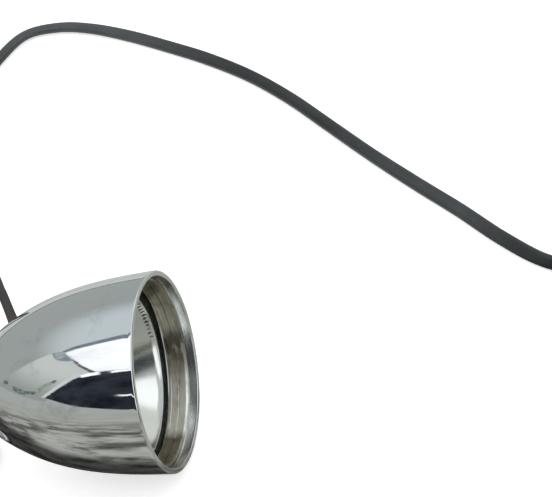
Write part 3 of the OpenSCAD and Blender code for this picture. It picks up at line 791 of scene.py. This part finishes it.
def makeReflector():
    count = dish["bowlSteps"]
    radii = [dish["neckR"] + (dish["bowlR"] - dish["neckR"]) * i / count for i in range(count + 1)]
    bowl = [(bowlDepthAt(r), r) for r in radii[:-1]]
    edge, foot = dish["beadEdge"], dish["beadFoot"]
    bead = arc((dish["seat"] - dish["beadHeight"] + edge, dish["beadR"] - foot), edge, -100, -260, 10)
    rows = [(dish["neckEnd"], dish["neckR"])] + bowl + bead
    rows += [(dish["seat"] - foot / 2, dish["beadR"] + dish["beadFlare"]),
             (dish["seat"], dish["beadR"] + foot)]
    rows += [(dish["seat"], dish["flangeR"]), (dish["seat"] + dish["sheet"], dish["flangeR"])]
    rows += [(dish["seat"] + dish["sheet"], dish["beadR"])]
    outside = dish["neckR"] + dish["sheet"]
    back = [(d + dish["sheet"], r + dish["backSpread"]) for d, r in bowl if r > outside + 1]
    rows += reversed(back)
    rows += [(bowlDepthAt(outside) + dish["sheet"], outside), (dish["neckEnd"], outside)]
    slot = "satin_reflector"
    piece = turned("reflector_dish", rows, slot, dish["around"], dish["drop"], dish["crease"])
    return finish(piece, slot, "lamp", "reflector")


# the sleeve, as distance from the shell's skin, width and thickness over the lead, and squareness
sleeve = {
    "length": 24,
    "stations": ((-5.9, 6.6, 9.4, 1), (-4.1, 6.6, 9.4, 1), (-4, 3.9, 6.7, 1), (0.1, 3.9, 6.7, 1),
                 (0.3, 3, 3, 0.8), (1.0, 3, 3, 0.8), (1.5, 2.4, 2.4, 0.76), (2.4, 1.8, 1.7, 0.72),
                 (5, 1.3, 1.1, 0.72), (8, 0.95, 0.6, 0.72), (12, 0.75, 0.34, 0.72), (18, 0.6, 0.26, 0.72),
                 (23.5, 0.5, 0.24, 0.72), (24, 0.3, 0.1, 0.72)),
}


def makeSleeve():
    outlet = Vector(sleeveTip) - sleeve["length"] * outletDir
    rows = [tuple(outlet + outletDir * k[0]) + (90,) for k in sleeve["stations"]]
    sections = [roundedSection(lead["width"] + wide, lead["thickness"] + thick, power)
                for away, wide, thick, power in sleeve["stations"]]
    piece = sweep("sleeve", rows, sections)[0]
    return finish(piece, "sleeve_rubber", "lamp", "strain_relief")


makeShell()
makeReflector()
makeSleeve()
print("shell and reflector turned")


# the stage: pale floor, soft light, and cards that only reflections see; metres
stage = {
    "floorSize": 6,
    "floorTone": 0.9,
    "floorRoughness": 0.9,
    "floorGlow": 0.52,
    "worldStrength": 1.0,
    "centreX": 0.02,         # the cards bend round this point of the lamp's axis
    "domeRadius": 4,
    "cardStep": 7,           # degrees between a card's points
    "groundSize": 12,
    "groundDepth": 0.002,
}


def onlyReflected(obj):
    obj.visible_camera = False
    obj.visible_diffuse = False
    obj.visible_shadow = False
    obj.visible_transmission = False
    obj.visible_volume_scatter = False


def stageMaterial(name):
    made = bpy.data.materials.new(name)
    made.use_nodes = True
    made.node_tree.nodes.clear()
    flow = Flow(made.node_tree)
    return made, flow.node("ShaderNodeTexCoord").out("Object")


def closeStage(made, colour):
    glow = Flow(made.node_tree).node("ShaderNodeEmission", None, {"Color": colour, "Strength": 1})
    glow.node("ShaderNodeOutputMaterial", None, {"Surface": glow})


def addFloor():
    half = stage["floorSize"] / 2
    corners = [(-half, -half, 0), (half, -half, 0), (half, half, 0), (-half, half, 0)]
    floor = meshObject("floor", corners, [(0, 1, 2, 3)])
    made = bpy.data.materials.new("floor")
    made.use_nodes = True
    shader = made.node_tree.nodes["Principled BSDF"]
    shader.inputs["Base Color"].default_value = (stage["floorTone"],) * 3 + (1,)
    shader.inputs["Roughness"].default_value = stage["floorRoughness"]
    shader.inputs["Emission Color"].default_value = (1, 1, 1, 1)
    shader.inputs["Emission Strength"].default_value = stage["floorGlow"]
    floor.data.materials.append(made)
    floor.visible_glossy = False
    floor.visible_diffuse = False


def addWorld():
    world = bpy.data.worlds.new("world")
    bpy.context.scene.world = world
    world.use_nodes = True
    back = world.node_tree.nodes["Background"]
    back.inputs["Color"].default_value = (1, 1, 1, 1)
    back.inputs["Strength"].default_value = stage["worldStrength"]


def domePoint(azimuth, height, radius):
    a, e = math.radians(azimuth), math.radians(height)
    centre = Vector((stage["centreX"], 0, axisZ))
    return centre + radius * Vector((math.cos(a) * math.cos(e), math.sin(a) * math.cos(e), math.sin(e)))


def graded(low, high, lowest, highest, radius):
    # a tone that changes from one height to another, in degrees, with faint clouds
    def tone(place):
        up = place.node("ShaderNodeSeparateXYZ", None, {"Vector": place}).out("Z") - axisZ
        drift = place.noise(0.8, 3, 0.5, (1, 1, 2.2)) * 0.2 - 0.1
        level = [radius * math.sin(math.radians(v)) for v in (lowest, highest)]
        return (up.between(*level) + drift).mixed(low, high)
    return tone


def addDome():
    # the room that the plating mirrors: a pale scrim with soft clouds
    mesh = bmesh.new()
    bmesh.ops.create_uvsphere(mesh, u_segments=48, v_segments=24, radius=stage["domeRadius"])
    bmesh.ops.reverse_faces(mesh, faces=mesh.faces)
    data = bpy.data.meshes.new("dome")
    mesh.to_mesh(data)
    mesh.free()
    dome = addObject("dome", data)
    made, place = stageMaterial("dome")
    tone = graded((0.43, 0.455, 0.44, 1), (0.66, 0.70, 0.71, 1), 6, 56, stage["domeRadius"])
    closeStage(made, tone(place))
    data.materials.append(made)
    onlyReflected(dome)


def cloudy(low, high, scale, stretch=None):
    return lambda place: place.noise(scale, 4, 0.6, stretch).between(0.35, 0.65).mixed(low, high)


def addCard(name, radius, colour, *outline):
    # a card bent round the light: outline lists azimuth and height in degrees
    mesh = bmesh.new()
    mesh.faces.new([mesh.verts.new((a, e, 0)) for a, e in outline])
    bmesh.ops.triangulate(mesh, faces=mesh.faces)
    longest = max(edge.calc_length() for edge in mesh.edges)
    cuts = int(longest / stage["cardStep"])
    if cuts:
        bmesh.ops.subdivide_edges(mesh, edges=mesh.edges, cuts=cuts, use_grid_fill=True)
    for vert in mesh.verts:
        vert.co = domePoint(vert.co.x, vert.co.y, radius)
    data = bpy.data.meshes.new(name)
    mesh.to_mesh(data)
    mesh.free()
    card = addObject(name, data)
    made, place = stageMaterial(name)
    closeStage(made, colour(place) if callable(colour) else colour)
    data.materials.append(made)
    onlyReflected(card)


def addCards():
    # of two cards in one direction the nearer shows: scrim, window, pale wall, doorway, small bright things
    addCard("scrim_card", 3.8, graded((0.375, 0.405, 0.395, 1), (0.61, 0.675, 0.70, 1), 38, 58, 3.8),
            (92, 1), (187, 1), (187, 20), (187, 62), (184, 80), (110, 80), (92, 60))
    addCard("far_line_card", 3.7, (0.13, 0.14, 0.14, 1),
            (90, -1.2), (152, -1.2), (152, 0.8), (90, 0.8))
    addCard("window_card", 3.65, cloudy((1.05, 1.09, 1.12, 1), (1.28, 1.30, 1.32, 1), 1.2),
            (190, 51.5), (196, 51), (204, 50.4), (212, 48.4), (220.5, 45.2), (227, 42.2), (232, 43.4),
            (240, 45.4), (262, 46.4), (262, 80), (186, 80), (187.3, 68))
    addCard("window_edge_card", 3.55, cloudy((0.13, 0.17, 0.22, 1), (0.24, 0.28, 0.33, 1), 2.5),
            (189.8, 49.1), (188.3, 52), (186.6, 56.1), (185.6, 59.8), (184, 62.8), (179, 66.6), (176, 80),
            (186, 80), (190.6, 65.3), (192, 62), (192.6, 58.9), (192.4, 55.3), (193, 51))
    addCard("pale_card", 3.6, graded((0.34, 0.365, 0.35, 1), (0.64, 0.675, 0.655, 1), 12, 42, 3.6),
            (186.5, 9), (221, 9), (221.5, 21), (223, 30), (224, 39), (226.7, 42), (212, 48.3),
            (202, 50.2), (190, 50.6), (187, 46), (186.6, 28))
    addCard("smudge_card", 3.5, cloudy((0.20, 0.245, 0.30, 1), (0.42, 0.46, 0.48, 1), 3.2),
            (187.2, 47), (187.6, 49.7), (191.3, 51.2), (201, 50.2), (208.2, 48.6), (205.5, 46.8),
            (198, 45.6))
    addCard("frame_card", 3.45, (0.11, 0.12, 0.13, 1),
            (205, 49.6), (212.2, 48.4), (222.3, 44.6), (228, 42), (227.4, 40.6), (221.6, 43.6),
            (211.5, 47.4))
    flag = cloudy((0.010, 0.013, 0.020, 1), (0.036, 0.041, 0.052, 1), 2.4, (1, 1, 0.4))
    addCard("doorway_card", 3.4, flag,
            (219.7, 12.9), (222.1, 21.2), (223.8, 27.9), (224.7, 34.1), (226.4, 38), (227.5, 41.4),
            (233, 42.8), (240, 44.6), (262, 45.4), (262, 1), (245.7, 2.7), (239.6, 5.4), (234.4, 7),
            (229, 9.5), (224.5, 11.6))
    addCard("jamb_card", 3.35, (0.70, 0.73, 0.70, 1),
            (217.6, 12.6), (219.9, 21.6), (221.3, 29.9), (222.2, 35.2), (222.7, 39.2), (224.6, 39),
            (224.1, 35), (223.3, 28.8), (221.9, 21.7), (219.7, 13.1))
    bright = (1.3, 1.33, 1.36, 1)
    addCard("tube_card", 3.3, bright,
            (225.2, 37.6), (226.4, 39.7), (228.1, 40.7), (229.8, 41.4), (231.1, 39.4), (229.6, 38.5),
            (228.2, 37.2), (226.8, 35.9))
    addCard("tube_card_2", 3.3, bright,
            (232.6, 42), (233.6, 43.2), (237.7, 44.9), (248, 46), (248, 44.4), (238.3, 42.9),
            (234.9, 41.4), (234, 40.4))
    addCard("tube_card_3", 3.3, bright,
            (242.3, 19.2), (246.7, 18.3), (256, 17.4), (256, 16), (246.7, 16.9), (242.9, 17.8))
    addCard("leaf_card", 3.3, cloudy((0.20, 0.30, 0.21, 1), (0.40, 0.46, 0.38, 1), 4),
            (210.9, 15.9), (212.9, 21.2), (214.2, 26.6), (216.4, 30.6), (218.4, 28.5), (217, 22.8),
            (215.1, 16.6))
    marks = cloudy((0.06, 0.09, 0.10, 1), (0.28, 0.33, 0.31, 1), 7)
    addCard("mark_card", 3.25, marks, (186.4, 14.2), (189, 16.1), (192, 14.2), (189.8, 12.1))
    addCard("mark_card_2", 3.25, marks,
            (195.8, 14.4), (200.7, 15), (206.4, 14.8), (213, 17.4), (213, 14), (207.3, 11.3),
            (203.3, 10.3), (198.6, 11.5))
    addCard("mark_card_3", 3.25, marks, (216.2, 31.4), (218.4, 30.8), (218.6, 28), (216.6, 28.6))
    # seen by the bowl and the inside of the rim only
    addCard("dark_room_card", 3.4, cloudy((0.012, 0.014, 0.017, 1), (0.05, 0.055, 0.06, 1), 1.4),
            (303, -2), (396, -2), (396, 20), (352, 9), (340, 15), (322, 15), (303, 12))
    addCard("lamp_card", 3.5, (1.45, 1.5, 1.52, 1),
            (330, 24), (346, 19), (372, 26), (372, 46), (352, 52), (332, 46))
    addCard("pale_room_card", 3.6, (0.85, 0.89, 0.85, 1),
            (368, 24), (420, 22), (436, 40), (425, 64), (368, 60))
    addCard("side_lamp_card", 3.35, (1.45, 1.5, 1.52, 1),
            (292, 0), (316, 0), (314, 30), (306, 44), (292, 40))


def addGroundCard():
    # the plating mirrors a rough bench: streaked far off, blotched close by, with a painted shadow beneath
    # the light
    half = stage["groundSize"]
    z = -stage["groundDepth"]
    corners = [(-half, -half, z), (half, -half, z), (half, half, z), (-half, half, z)]
    ground = meshObject("ground_card", corners, [(0, 1, 2, 3)])
    made, place = stageMaterial("ground_card")
    parts = place.node("ShaderNodeSeparateXYZ", None, {"Vector": place})
    x, y = parts.out("X"), parts.out("Y")
    away = (x * x + y * y) ** 0.5
    near = away.between(0.42, 0.10)
    streaks = place.noise(9, 6, 0.68, (0.5, 1.6, 1)).between(0.3, 0.7)
    grain = place.noise(75, 5, 0.7, (0.5, 1.5, 1)).between(0.34, 0.66)
    blotches = place.noise(19, 5, 0.6, (0.7, 1.2, 1)).between(0.56, 0.42)
    far = streaks.mixed((0.33, 0.34, 0.31, 1), (0.50, 0.515, 0.475, 1))
    close = (blotches * 0.72 + grain * 0.28).mixed((0.07, 0.07, 0.064, 1), (0.50, 0.51, 0.465, 1))
    tone = near.mixed(far, close)
    # painted shadow: the bench is painted dark under the light's body
    paintedShadowBeneath = y.math("ABSOLUTE").between(0.066, 0.040) * x.between(0.075, 0.055)
    dark = grain.mixed((0.008, 0.008, 0.008, 1), (0.06, 0.06, 0.055, 1))
    before = x.between(0.078, 0.10)
    room = x.between(0.165, 0.24) * y.between(-0.30, -0.20)
    shown = (paintedShadowBeneath * 0.94).mixed(tone, dark)
    shown = (before * 0.8).mixed(shown, (0.42, 0.44, 0.40, 1))
    shown = room.mixed(shown, (0.03, 0.033, 0.035, 1))
    closeStage(made, y.between(0.10, 0.22).mixed(shown, (0.60, 0.63, 0.60, 1)))
    ground.data.materials.append(made)
    onlyReflected(ground)
    ground.visible_diffuse = True       # so that undersides are shaded as over a bench


addFloor()
addWorld()
addDome()
addCards()
addGroundCard()
bpy.context.scene.view_settings.view_transform = "Standard"
print("stage set")

bpy.context.view_layer.update()
